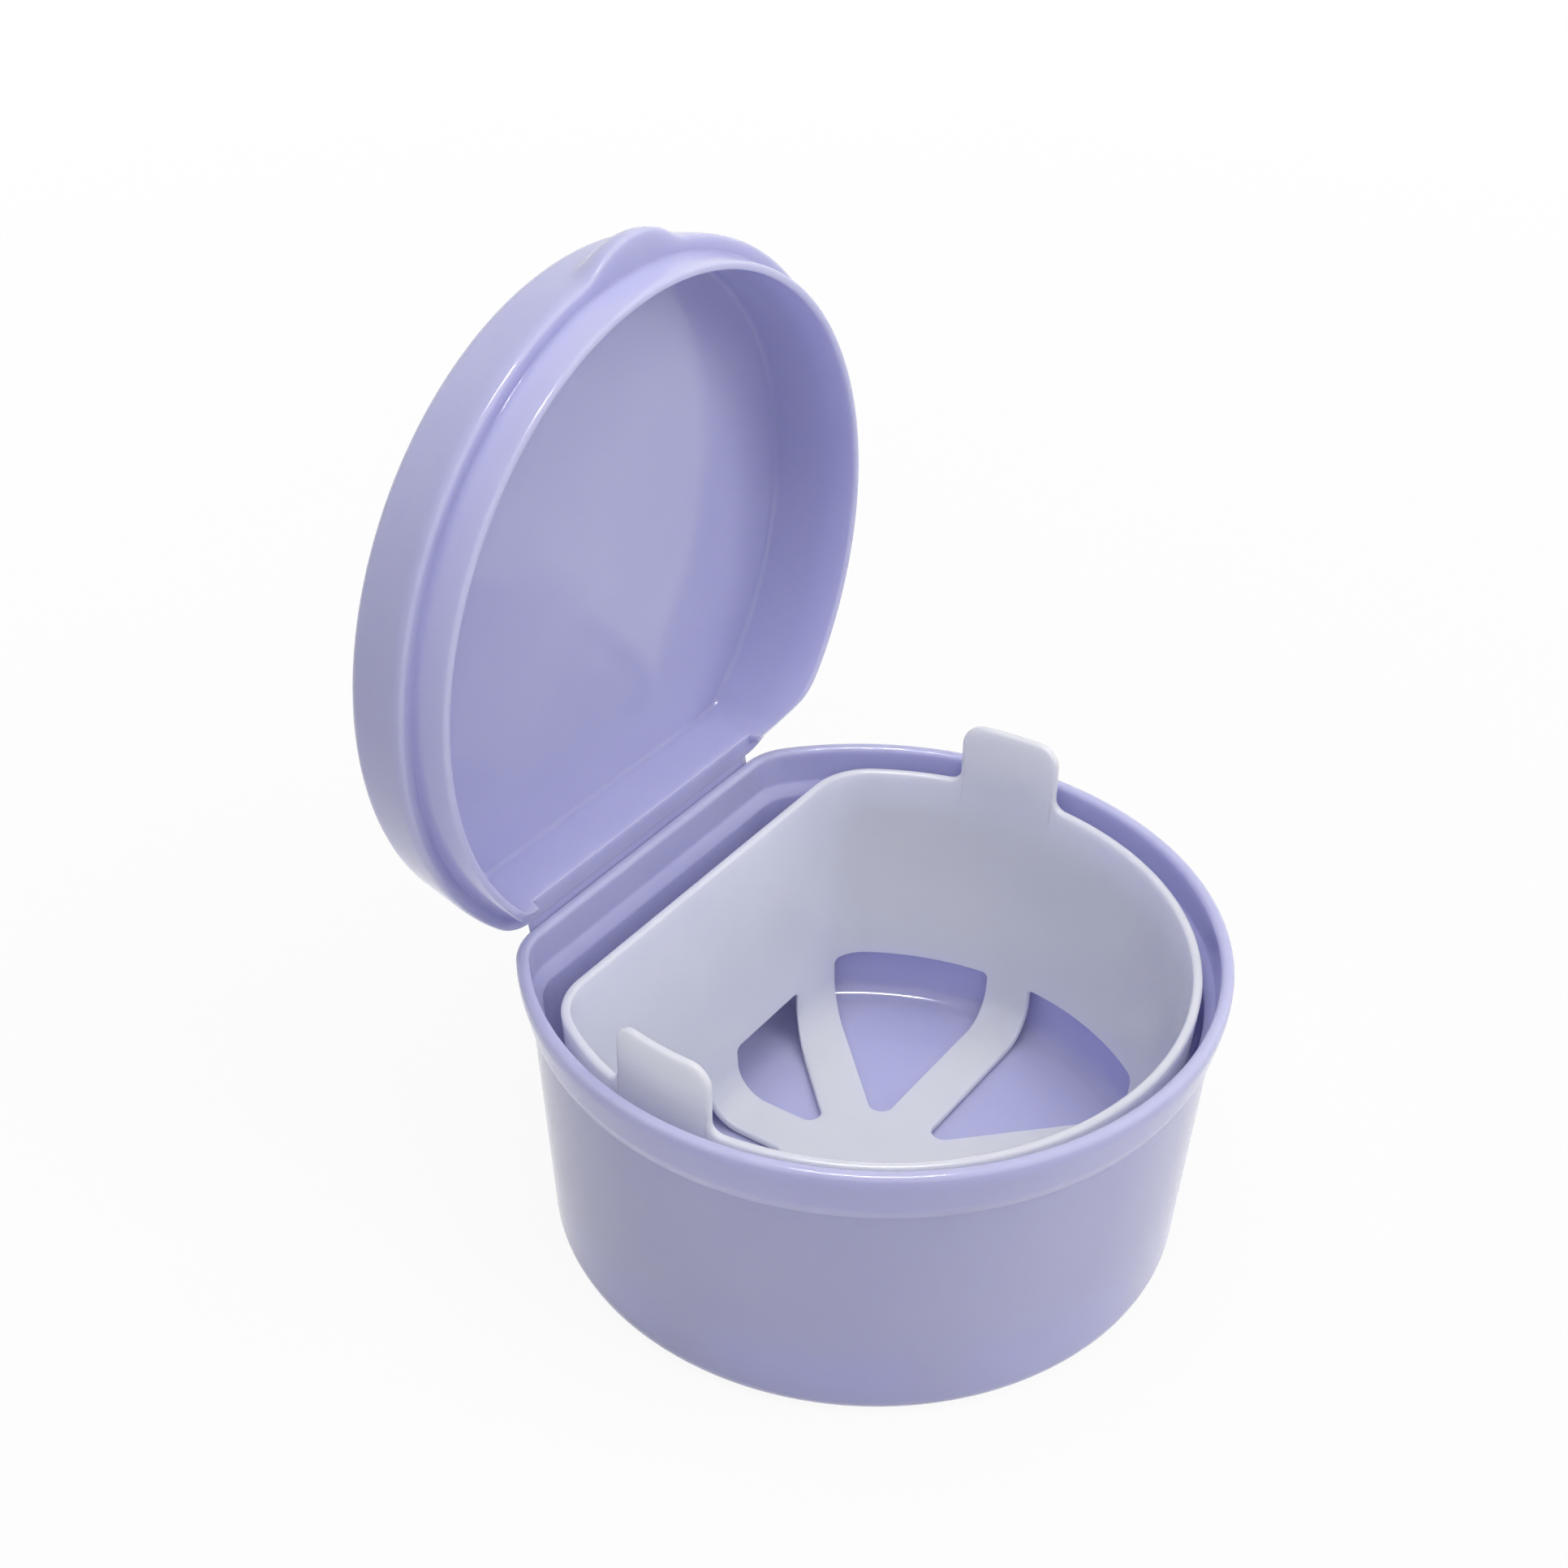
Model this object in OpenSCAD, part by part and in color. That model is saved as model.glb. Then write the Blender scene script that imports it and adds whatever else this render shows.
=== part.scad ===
// Retainer bath: a D-plan cup, a lid on a moulded film hinge and a lift-out strainer basket.
// Millimetres. +Z up, front towards -Y, film hinge along X at the back.
// Origin on the underside of the cup, below the centre of the round front.
// Drawn with the lid standing open at a right angle.

/* [Case plan] */
// Radius of the rim band and of the lid skirt
case_r = 45; // [42:0.5:52]
// Plan radius of the two back corners, which also sets how far back the flat face lies
corner_r = 9; // [8.8:0.1:14]

/* [Cup] */
// Underside to rim
cup_h = 42; // [36:0.5:56]
// Wall thickness
wall_t = 1.6; // [1.2:0.1:2]
// Floor thickness
floor_t = 1.8; // [1.4:0.1:2.6]
// Inward lean of the wall from the rim band down to the underside
cup_taper = 2.3; // [1.2:0.1:3.2]
// Inward lean of the rim band from the film down to its lower edge
band_lean = 0.9; // [0.4:0.1:1.1]
// Outset of the band's lower edge over the wall below it
band_out = 0.7; // [0.3:0.1:1]
// Height of the slope under the band's lower edge
band_fall = 1.6; // [0.6:0.1:2.6]
// Reach of the rim band below the inner ledge
band_over = 2.7; // [1.2:0.1:3.4]
// Rounding of the rim edges
rim_r = 0.7; // [0.3:0.05:0.8]
// Outer rounding at the underside
foot_r = 2.6; // [1:0.1:3.5]
// Inner rounding at the floor
well_r = 3; // [1:0.1:4]

/* [Lid] */
// Flange to top
lid_h = 9.5; // [8.4:0.1:12]
// Thickness of the top panel
top_t = 1.5; // [1.1:0.1:2]
// Outer rounding of the top edge
top_r = 2.2; // [1:0.1:3]
// Inward lean of the skirt towards the top
lid_taper = 1.6; // [0.6:0.1:1.8]
// Inner rounding under the top panel
under_r = 0.8; // [0.4:0.1:1.5]
// Rounding of the flange edge
flange_r = 0.5; // [0.2:0.05:0.7]
// Gap between the rim and the closed flange
seat_gap = 0.15; // [0.1:0.05:0.3]
// Height of the plug lip
lip_h = 4.6; // [3.4:0.1:5.4]
// Thickness of the plug lip
lip_t = 1.3; // [1:0.1:1.8]
// Clearance between the plug lip and the cup wall
lip_clear = 0.3; // [0.3:0.05:0.6]
// Inward lean of the plug lip towards its tip
lip_taper = 0.25; // [0.1:0.05:0.5]
// Distance from the back face where the plug lip begins
lip_start = 1; // [0.6:0.1:3]

/* [Thumb rest] */
// Reach beyond the skirt
thumb_out = 2.5; // [1.5:0.1:4]
// Plan radius
thumb_r = 12; // [9:0.5:28]
// Height above the flange
thumb_h = 5.2; // [4:0.1:6.8]

/* [Film hinge] */
// Film thickness
film_t = 0.4; // [0.3:0.05:0.6]
// Film width held on the back of the cup
film_hold = 0.9; // [0.6:0.1:1.6]
// Height on the lid's back where the film ends
film_on_lid = 0.85; // [0.75:0.05:1.6]
// Turning axis behind the back face
axis_back = 0.25; // [0.1:0.05:0.6]
// Turning axis above the flange
axis_up = 0.6; // [0.4:0.05:1.2]

/* [Basket] */
// Wall and floor thickness
basket_t = 1.2; // [0.9:0.1:1.5]
// Gap between the plug lip and the basket rim
basket_gap = 0.55; // [0.4:0.05:1.2]
// Basket rim below the cup rim
basket_drop = 1.8; // [1:0.1:5]
// Inward lean of the basket wall
basket_taper = 2.9; // [1.8:0.1:3.4]
// Outer rounding between basket wall and floor
bend_r = 6; // [3:0.1:7]
// Plan radius of the basket's back corners, which also sets the finger room behind it
basket_corner = 9.5; // [8:0.1:12]
// Rounding of the basket rim
basket_rim_r = 0.45; // [0.2:0.05:0.5]

/* [Drain openings] */
// Width of a spoke
spoke_w = 6.8; // [5:0.1:8.5]
// Rounding at the inner point of an opening
point_r = 1.7; // [1:0.1:2.6]
// Rounding at the outer corners of an opening
shoulder_r = 0.8; // [0.5:0.1:2.4]
// Rise of the openings above the basket floor
drain_rise = 7.1; // [4:0.1:9]

/* [Lift tabs] */
// Tab width
tab_w = 14.2; // [9:0.2:18]
// Gap between the tab tops and the closed lid
tab_clear = 0.7; // [0.5:0.1:4]
// Rounding of the tab's top corners
tab_r = 3; // [0.8:0.1:3.4]
// Fillet where the tab meets the basket rim
tab_foot_r = 1.6; // [0.6:0.1:2.4]
// Angle of the tabs behind the side-to-side line
tab_angle = 5; // [0:0.5:12]

/* [Hidden] */
$fn = 96;
deep = 120;
drains = 8;
rest_gap = 0.15;
lip_floor = 0.25;
lip_lean = 1.4;
inner_draft = 0.3;
band_plain = 0.2;
tip_r = 0.45;
tab_inset = 0.1;
spare = 0.5;
// Bearing at which a corner arc leaves the round front: cosine and sine that end after a few digits
case_dir = [0.658944, 0.752192];
basket_dir = [0.8432, 0.5376];
edge_r = min(rim_r, 0.45 * wall_t);
ledge_z = cup_h - lip_h - lip_floor;
step_z = ledge_z - band_over;
wall_in = band_lean + band_out;
case_c = max(corner_r, wall_in + cup_taper + wall_t + well_r + spare);
back_y = case_c + (case_r - case_c) * case_dir[1];
chord = (case_r - case_c) * case_dir[0];
seat_z = cup_h + seat_gap;
lid_top = seat_z + lid_h;
lid_in = lid_top - top_t;
lid_foot = seat_z + film_on_lid + film_t;
lip_u = wall_t + lip_clear;
lid_wall = lip_u + lip_t;
axis_y = back_y + axis_back;
axis_z = seat_z + axis_up;
basket_r = case_r - lid_wall - basket_gap;
basket_c = max(basket_corner, basket_taper + bend_r + spare);
basket_z = floor_t + rest_gap;
basket_top = cup_h - basket_drop;
basket_edge = min(basket_rim_r, 0.4 * basket_t);
basket_lip = basket_top - basket_edge;
tab_top = lid_in - tab_clear;
tab_low = basket_top - 2 * basket_edge;
drain_top = basket_z + basket_t + drain_rise;
film_z = cup_h - edge_r - film_hold;
film_end = axis_z + axis_back;
film_y = axis_y + film_on_lid - axis_up;

// Edge drawing moved out to radius r, with nothing beyond the centre.
module edge(r) {
    intersection() {
        translate([r, 0]) children();
        translate([0, -deep]) square([deep, 2 * deep]);
    }
}

// D-plan solid: the edge drawing follows the round front, both corners and the flat back.
module dee(r, c, dir, low, high) {
    a = atan2(dir[1], dir[0]);
    x = (r - c) * dir[0];
    y = (r - c) * dir[1];
    far = 100 * dir;
    difference() {
        rotate_extrude() edge(r) children();
        translate([0, 0, low - 1])
            linear_extrude(high - low + 2)
                polygon([[0, 0], far, [-far[0], far[1]]]);
    }
    for (side = [0, 1])
        mirror([side, 0, 0])
            intersection() {
                rotate([0, 0, a])
                    translate([r - c, 0, 0])
                        rotate([0, 0, -a]) {
                            intersection() {
                                rotate_extrude() edge(c) children();
                                translate([0, 0, low - 1])
                                    linear_extrude(high - low + 2)
                                        polygon([[0, 0], far, [0, far[1]]]);
                            }
                            rotate([90, 0, 90])
                                translate([0, 0, -x - 1])
                                    linear_extrude(x + 1)
                                        edge(c) children();
                        }
                translate([0, 0, low - 1]) cube([deep, deep, high - low + 2]);
            }
    translate([0, 0, low])
        linear_extrude(high - low)
            polygon([[0, -5], [x + 0.2, y], [x, y + 0.2], [-x, y + 0.2], [-x - 0.2, y]]);
}

module case_dee(low, high) {
    dee(case_r, case_c, case_dir, low, high) children();
}

module basket_dee(low, high) {
    dee(basket_r, basket_c, basket_dir, low, high) children();
}

// Edge drawing of a leaning wall whose lower outer corner is rounded.
// The straight wall runs just inside the rounding, so the two cross cleanly.
module leaning(u_low, u_high, low, high, r) {
    k = (u_high - u_low) / (high - low);
    u = u_low + r * k - r * sqrt(1 + k * k);
    a = -atan(k) - 2;
    polygon([
        [-deep, low],
        [u, low],
        [u + 0.9995 * r * cos(a), low + r + 0.9995 * r * sin(a)],
        [u_high, high],
        [-deep, high]
    ]);
    translate([u, low + r]) circle(r);
}

// Outward flare that rounds the inner edge of a rim.
module flare(u, top, r) {
    difference() {
        translate([u - r, top - r]) square([2 * r, 2 * r]);
        translate([u + r, top - r]) circle(r);
    }
}

function cup_u(z) = -wall_in - cup_taper * (1 - z / step_z);

module cup_outer() {
    leaning(-wall_in - cup_taper, -wall_in, 0, step_z, foot_r);
    polygon([
        [-deep, step_z],
        [-wall_in, step_z],
        [-band_lean, step_z + band_fall],
        [0, film_z - band_plain],
        [0, cup_h - edge_r],
        [-edge_r, cup_h],
        [-deep, cup_h]
    ]);
    translate([-edge_r, cup_h - edge_r]) circle(edge_r);
}

module cup_inner() {
    low = ledge_z - wall_in;
    u = cup_u(low) - wall_t;
    leaning(cup_u(floor_t) - wall_t, u, floor_t, low, well_r);
    polygon([
        [-deep, low],
        [u, low],
        [-wall_t - lip_taper, ledge_z],
        [-wall_t, cup_h - edge_r],
        [-wall_t, cup_h + 1],
        [-deep, cup_h + 1]
    ]);
    flare(-wall_t, cup_h, edge_r);
}

module base_cup() {
    color("#a9a6cf")
        difference() {
            case_dee(0, cup_h) cup_outer();
            case_dee(floor_t, cup_h + 1) cup_inner();
        }
}

// Lid edge: upright where the film holds it, then leaning in to the rounded top.
module lid_outer() {
    polygon([
        [-deep, seat_z],
        [-flange_r, seat_z],
        [0, seat_z + flange_r],
        [0, lid_foot],
        [-deep, lid_foot]
    ]);
    translate([-flange_r, seat_z + flange_r]) circle(flange_r);
    translate([0, lid_top])
        mirror([0, 1])
            leaning(-lid_taper, 0, 0, lid_top - lid_foot, top_r);
}

module lid_inner() {
    translate([0, lid_in])
        mirror([0, 1])
            leaning(-lid_wall - inner_draft, -lid_wall, 0, lid_in - seat_z + lip_h + 1, under_r);
}

module lip_outer() {
    leaning(-lip_u - lip_taper, -lip_u, seat_z - lip_h, seat_z + flange_r, tip_r);
}

// Plug lip, sloped away at both ends of the film and left out along the flat back.
module plug_lip() {
    low = seat_z - lip_h - 1;
    reach = lip_lean * (seat_z - low);
    difference() {
        case_dee(seat_z - lip_h, seat_z + flange_r) lip_outer();
        rotate([90, 0, 90])
            translate([0, 0, -case_r])
                linear_extrude(2 * case_r)
                    polygon([
                        [back_y - lip_start, seat_z],
                        [back_y - lip_start - reach, low],
                        [back_y + 1, low],
                        [back_y + 1, seat_z]
                    ]);
        translate([-chord - spare, back_y - lid_wall - 1, low])
            cube([2 * (chord + spare), lid_wall + 2, seat_z - low]);
    }
}

// Crescent that widens the flange at the front, let into the skirt.
module thumb_rest() {
    difference() {
        translate([0, thumb_r - case_r - thumb_out, seat_z])
            rotate_extrude()
                intersection() {
                    union() {
                        translate([thumb_r - thumb_h, 0]) circle(thumb_h);
                        square([thumb_r - thumb_h, thumb_h]);
                    }
                    square([thumb_r + 1, thumb_h + 1]);
                }
        translate([0, 0, seat_z - 1]) cylinder(r = case_r - lid_wall / 2, h = lid_h + 2);
    }
}

// The lid as it sits closed on the rim.
module lid_closed() {
    difference() {
        union() {
            case_dee(seat_z, lid_top) lid_outer();
            plug_lip();
        }
        case_dee(seat_z - lip_h - 1, lid_in) lid_inner();
    }
    thumb_rest();
}

module lid() {
    color("#aeabd3")
        translate([0, axis_y, axis_z])
            rotate([-90, 0, 0])
                translate([0, -axis_y, -axis_z])
                    lid_closed();
}

module living_hinge() {
    color("#b9b7da")
        rotate([90, 0, 90])
            translate([0, 0, -chord])
                linear_extrude(2 * chord)
                    polygon([
                        [back_y, film_z],
                        [back_y + film_t, film_z],
                        [back_y + film_t, film_z + film_hold],
                        [film_y + film_t / 2, film_end],
                        [film_y - film_t / 2, film_end],
                        [back_y, film_z + film_hold]
                    ]);
}

module basket_outer() {
    leaning(-basket_taper, 0, basket_z, basket_lip, bend_r);
    polygon([
        [-deep, basket_lip],
        [0, basket_lip],
        [-basket_edge, basket_top],
        [-deep, basket_top]
    ]);
    translate([-basket_edge, basket_lip]) circle(basket_edge);
}

module basket_inner() {
    k = basket_taper / (basket_lip - basket_z);
    low = basket_z + basket_t;
    leaning(k * basket_t - basket_taper - basket_t, -basket_t, low, basket_lip, bend_r - basket_t);
    translate([-deep, basket_lip]) square([deep - basket_t, 2]);
    flare(-basket_t, basket_top, basket_edge);
}

// Plan of one opening between two spokes of width w.
module wedge(w, r) {
    half = 180 / drains;
    far = 2 * case_r;
    m = (r + w / 2) / sin(half);
    x = far * cos(half) + w / 2 * sin(half);
    y = far * sin(half) - w / 2 * cos(half);
    polygon([
        [m - r * sin(half), r * cos(half)],
        [x, y],
        [x, -y],
        [m - r * sin(half), -r * cos(half)]
    ]);
    translate([m, 0]) circle(r);
}

// One opening: the rounding of its upper corners crosses its sides and its top cleanly.
module drain() {
    half = 180 / drains;
    low = basket_z - 1;
    inset = shoulder_r * cos(3);
    bend = drain_top - inset;
    translate([0, 0, low]) linear_extrude(bend - low) wedge(spoke_w, point_r);
    translate([0, 0, low]) linear_extrude(drain_top - low) wedge(spoke_w + 2 * shoulder_r, point_r);
    for (side = [-1, 1])
        rotate([0, 0, side * half])
            translate([2 * spoke_w, -side * (spoke_w / 2 + inset), bend])
                rotate([0, 90, 0])
                    cylinder(r = shoulder_r, h = case_r);
}

module tab_plan() {
    w = tab_w / 2;
    foot = basket_top + tab_foot_r;
    difference() {
        union() {
            polygon([
                [-w - tab_foot_r, tab_low],
                [w + tab_foot_r, tab_low],
                [w + tab_foot_r, foot],
                [w, foot],
                [w, tab_top - tab_r],
                [w - tab_r, tab_top],
                [tab_r - w, tab_top],
                [-w, tab_top - tab_r],
                [-w, foot],
                [-w - tab_foot_r, foot]
            ]);
            for (side = [-1, 1])
                translate([side * (w - tab_r), tab_top - tab_r]) circle(tab_r);
        }
        for (side = [-1, 1])
            translate([side * (w + tab_foot_r), foot]) circle(tab_foot_r);
    }
}

module lift_tab(a) {
    intersection() {
        rotate_extrude()
            translate([basket_r - basket_t + tab_inset, tab_low - 1])
                square([basket_t - 2 * tab_inset, tab_top - tab_low + 2]);
        rotate([0, 0, a])
            rotate([90, 0, 90])
                linear_extrude(case_r)
                    tab_plan();
    }
}

module strainer_basket() {
    color("#e6e7ee")
        union() {
            difference() {
                basket_dee(basket_z, basket_top) basket_outer();
                basket_dee(basket_z + basket_t, basket_top + 1) basket_inner();
                for (i = [0:drains - 1])
                    rotate([0, 0, (i + 0.5) * 360 / drains]) drain();
            }
            lift_tab(tab_angle);
            lift_tab(180 - tab_angle);
        }
}

base_cup();
lid();
living_hinge();
strainer_basket();
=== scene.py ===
import math

import bmesh
import bpy
import numpy as np
from mathutils import Matrix, Vector


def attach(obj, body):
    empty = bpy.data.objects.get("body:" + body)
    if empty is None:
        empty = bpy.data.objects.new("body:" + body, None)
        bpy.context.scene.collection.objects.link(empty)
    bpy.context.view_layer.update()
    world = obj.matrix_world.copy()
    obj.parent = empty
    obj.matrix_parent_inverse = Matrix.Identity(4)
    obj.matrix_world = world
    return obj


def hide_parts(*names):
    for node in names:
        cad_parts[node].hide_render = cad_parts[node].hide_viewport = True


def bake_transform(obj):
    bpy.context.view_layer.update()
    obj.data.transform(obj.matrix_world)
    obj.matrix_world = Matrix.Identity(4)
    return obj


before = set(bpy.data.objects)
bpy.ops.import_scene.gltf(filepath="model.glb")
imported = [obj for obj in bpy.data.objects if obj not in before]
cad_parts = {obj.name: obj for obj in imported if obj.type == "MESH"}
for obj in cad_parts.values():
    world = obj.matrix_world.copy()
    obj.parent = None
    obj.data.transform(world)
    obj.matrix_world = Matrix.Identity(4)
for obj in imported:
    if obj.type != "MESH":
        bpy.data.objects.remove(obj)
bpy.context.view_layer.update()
print("frame loaded:", ", ".join(sorted(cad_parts)))

mm = 0.001
mergeWithin = 1.5e-6   # m, points closer than this become one
tiny = 1e-6            # mm
sameAngle = 1e-9       # radians


# sRGB hex to linear: c / 12.92 below 0.04045, else ((c + 0.055) / 1.055) to the power 2.4
def linear(hexColour):
    c = np.array([int(hexColour[i:i + 2], 16) for i in (1, 3, 5)]) / 255
    c = np.where(c <= 0.04045, c / 12.92, ((c + 0.055) / 1.055) ** 2.4)
    return (*c.tolist(), 1.0)


# smooth step: 3t^2 - 2t^3 on t held between 0 and 1
def ease(t):
    t = np.clip(t, 0, 1)
    return t * t * (3 - 2 * t)


# even steps from start to stop, without the start
def run(start, stop, count):
    return np.linspace(start, stop, count + 1)[1:]


# Line of straight runs with rounded corners, each corner being (across, up, radius).
# The arc's centre lies on the corner's bisector at radius / sin(half angle),
# and the arc begins radius / tan(half angle) before the corner.
def roundedLine(corners, steps=8):
    points = np.array([c[:2] for c in corners], float)
    out = [points[:1]]
    for i in range(1, len(points) - 1):
        radius = corners[i][2]
        d0, d1 = points[i - 1] - points[i], points[i + 1] - points[i]
        d0, d1 = d0 / np.linalg.norm(d0), d1 / np.linalg.norm(d1)
        half = 0.5 * math.acos(np.clip(d0 @ d1, -1, 1))
        bisector = (d0 + d1) / np.linalg.norm(d0 + d1)
        centre = points[i] + bisector * radius / math.sin(half)
        a = points[i] + d0 * radius / math.tan(half) - centre
        b = points[i] + d1 * radius / math.tan(half) - centre
        sweep = math.atan2(a[0] * b[1] - a[1] * b[0], a @ b)
        s = np.linspace(0, sweep, steps)[:, None]
        out.append(centre + np.cos(s) * a + np.sin(s) * np.array([-a[1], a[0]]))
    out.append(points[-1:])
    return np.concatenate(out)


# Extra points on long straight runs: one close to each end, to hold the shading,
# and the rest evenly between.
def heldLine(line, hold=0.25, longest=1.6):
    out = []
    for a, b in zip(line[:-1], line[1:]):
        length = np.linalg.norm(b - a)
        t = np.array([0.0])
        if length > 3 * hold:
            h = hold / length
            count = 2 + int((length - 2 * hold) / longest)
            t = np.concatenate([[0.0], np.linspace(h, 1 - h, count)])
        out.append(a + t[:, None] * (b - a))
    out.append(line[-1:])
    return np.concatenate(out)


# Faces of a grid of points, row by row; closed=True also joins the last column to the first.
def gridFaces(rows, columns, first, closed):
    across = columns if closed else columns - 1
    i, j = np.meshgrid(np.arange(rows - 1), np.arange(across), indexing="ij")
    k = (j + 1) % columns
    here, above = i * columns, (i + 1) * columns
    quads = np.stack([here + j, here + k, above + k, above + j], -1)
    return quads.reshape(-1, 4) + first


# One object from grids of points in millimetres: seams and poles are merged
# and faces turned outwards.
def makePiece(name, grids, material):
    points, faces, first = [], [], 0
    for grid, closed in grids:
        rows, columns = grid.shape[:2]
        points.append(grid.reshape(-1, 3))
        faces.append(gridFaces(rows, columns, first, closed))
        first += rows * columns
    mesh = bpy.data.meshes.new(name)
    mesh.from_pydata((np.concatenate(points) * mm).tolist(), [], np.concatenate(faces).tolist())
    work = bmesh.new()
    work.from_mesh(mesh)
    bmesh.ops.remove_doubles(work, verts=work.verts, dist=mergeWithin)
    bmesh.ops.recalc_face_normals(work, faces=work.faces)
    loose = sum(1 for e in work.edges if not e.is_manifold)
    work.to_mesh(mesh)
    work.free()
    mesh.polygons.foreach_set("use_smooth", np.ones(len(mesh.polygons), bool))
    mesh.materials.append(material)
    piece = bpy.data.objects.new(name, mesh)
    bpy.context.scene.collection.objects.link(piece)
    print(f"{name}: {len(mesh.polygons)} faces, open edges {loose}")
    return piece


# Adds one node, sets its properties and sockets, and links the sockets that are given an output.
def addNode(tree, kind, sockets=None, **settings):
    node = tree.nodes.new(kind)
    for key, value in settings.items():
        setattr(node, key, value)
    for key, value in (sockets or {}).items():
        if isinstance(value, bpy.types.NodeSocket):
            tree.links.new(value, node.inputs[key])
        else:
            node.inputs[key].default_value = value
    return node


# an empty node material and its tree
def newMaterial(name):
    material = bpy.data.materials.new(name)
    material.use_nodes = True
    material.node_tree.nodes.clear()
    return material, material.node_tree


# Polypropylene, injection moulded in a polished tool and tinted lavender: a gloss with small
# sharp glints, light that bleeds through thin walls, and faint cloudy flow in the tint.
casePlastic = {
    "tint": "#bbbbdd",
    "flowTint": "#b5b5da",
    "flowSize": 26.0,      # mm, one cloud of flow
    "grainSize": 0.55,     # mm, drawn coarser than the mould's real 0.05 mm so that it shows
    "grainDepth": 0.012,   # mm
    "roughLow": 0.09,
    "roughHigh": 0.15,
    "ior": 1.49,
    "bleed": (3.0, 3.0, 3.4),  # mm, red, green and blue
    "bleedShare": 0.9,
}

# The same polypropylene drawn out to a film, so dense at its bend that light hardly bleeds:
# the tint stays full.
filmPlastic = {**casePlastic, "bleed": (0.5, 0.5, 0.6)}

# Polypropylene, injection moulded with no tint of its own: milky, greyer in the wall and whiter
# where light gathers at edges. The slight lavender-blue cast in its two colours is painted
# reflection of light bounced from the lavender cup around it.
basketPlasticWithPaintedBounce = {
    # milky white, plus a slight blue that is painted reflection of the lavender cup
    "tint": "#e6e8f6",
    "flowTint": "#e0e3f3",
    "flowSize": 18.0,
    "grainSize": 0.5,
    "grainDepth": 0.012,
    "roughLow": 0.18,
    "roughHigh": 0.26,
    "ior": 1.49,
    "bleed": (4.0, 4.0, 4.4),
    "bleedShare": 1.0,
}

# What all the mouldings share: detail of the two noises, the part of their range that counts,
# and how much of the grain's depth is felt.
moulding = {"flowDetail": 3.0, "grainDetail": 2.0, "low": 0.3, "high": 0.7, "grainFelt": 0.35}


# Moulded plastic: coarse noise mixes the two tints, fine noise sets roughness and grain,
# and light bleeds by the given lengths.
def mouldedPlastic(name, look):
    material, tree = newMaterial(name)
    where = addNode(tree, "ShaderNodeTexCoord").outputs["Object"]
    flow = addNode(tree, "ShaderNodeTexNoise", {
        "Vector": where,
        "Scale": 1 / (look["flowSize"] * mm),
        "Detail": moulding["flowDetail"],
    })
    grain = addNode(tree, "ShaderNodeTexNoise", {
        "Vector": where,
        "Scale": 1 / (look["grainSize"] * mm),
        "Detail": moulding["grainDetail"],
    })
    ramp = addNode(tree, "ShaderNodeValToRGB", {"Fac": flow.outputs["Fac"]})
    ramp.color_ramp.elements[0].position = moulding["low"]
    ramp.color_ramp.elements[1].position = moulding["high"]
    ramp.color_ramp.elements[0].color = linear(look["flowTint"])
    ramp.color_ramp.elements[1].color = linear(look["tint"])
    rough = addNode(tree, "ShaderNodeMapRange", {
        "Value": grain.outputs["Fac"],
        "From Min": moulding["low"],
        "From Max": moulding["high"],
        "To Min": look["roughLow"],
        "To Max": look["roughHigh"],
    })
    bump = addNode(tree, "ShaderNodeBump", {
        "Height": grain.outputs["Fac"],
        "Strength": moulding["grainFelt"],
        "Distance": look["grainDepth"] * mm,
    })
    shader = addNode(tree, "ShaderNodeBsdfPrincipled", {
        "Base Color": ramp.outputs["Color"],
        "Roughness": rough.outputs["Result"],
        "Normal": bump.outputs["Normal"],
        "IOR": look["ior"],
        "Subsurface Weight": look["bleedShare"],
        "Subsurface Radius": tuple(b * mm for b in look["bleed"]),
        "Subsurface Scale": 1.0,
    })
    addNode(tree, "ShaderNodeOutputMaterial", {"Surface": shader.outputs["BSDF"]})
    return material


lavenderPP = mouldedPlastic("lavenderGlossPolypropylene", casePlastic)
filmPP = mouldedPlastic("lavenderFilmPolypropylene", filmPlastic)
milkyPPWithPaintedBounce = mouldedPlastic("milkyPolypropyleneWithPaintedBounce", basketPlasticWithPaintedBounce)
print("materials made")


# The D of the case in plan: a round front, two back corners and a flat back,
# each tangent to the next.
casePlan = {"radius": 45.0, "corner": 9.0, "bearing": (0.658944, 0.752192)}
discRows = 10   # from the hub to the rim of a flat disc


# Path round a D, from the middle of the back over the left side and the front to the middle
# of the back again. A point inset by u is centre + (radius - u) * direction; on the flat back
# the centre slides along with it.
def deePath(plan, backSteps=26, cornerSteps=30, sideSteps=112, frontSteps=96, frontHalf=0.42):
    turn = math.atan2(plan["bearing"][1], plan["bearing"][0])
    cx, cy = ((plan["radius"] - plan["corner"]) * b for b in plan["bearing"])
    a0, a1, front = math.pi - turn, 2 * math.pi + turn, 1.5 * math.pi
    leftTurn = np.linspace(math.pi / 2, a0, cornerSteps, endpoint=False)
    arc = np.concatenate([
        np.linspace(a0, front - frontHalf, sideSteps, endpoint=False),
        np.linspace(front - frontHalf, front + frontHalf, frontSteps, endpoint=False),
        np.linspace(front + frontHalf, a1, sideSteps, endpoint=False)])
    rightTurn = np.linspace(turn, math.pi / 2, cornerSteps, endpoint=False)
    leftBack = np.linspace(0, -cx, backSteps, endpoint=False)
    rightBack = np.linspace(cx, 0, backSteps, endpoint=False)
    flat = np.full(backSteps, math.pi / 2)
    angle = np.concatenate([flat, leftTurn, arc, rightTurn, flat])
    corner = np.full(cornerSteps, cx)
    middle = np.zeros(len(arc))
    behind = np.full(backSteps + cornerSteps, cy)
    x = np.concatenate([leftBack, -corner, middle, corner, rightBack])
    y = np.concatenate([behind, middle, behind])
    return {
        "centre": np.stack([x, y], -1),
        "angle": angle,
        "radius": np.where((x == 0) & (y == 0), plan["radius"], plan["corner"]),
        "back": cy + plan["corner"],
        "half": cx,
    }


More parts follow.
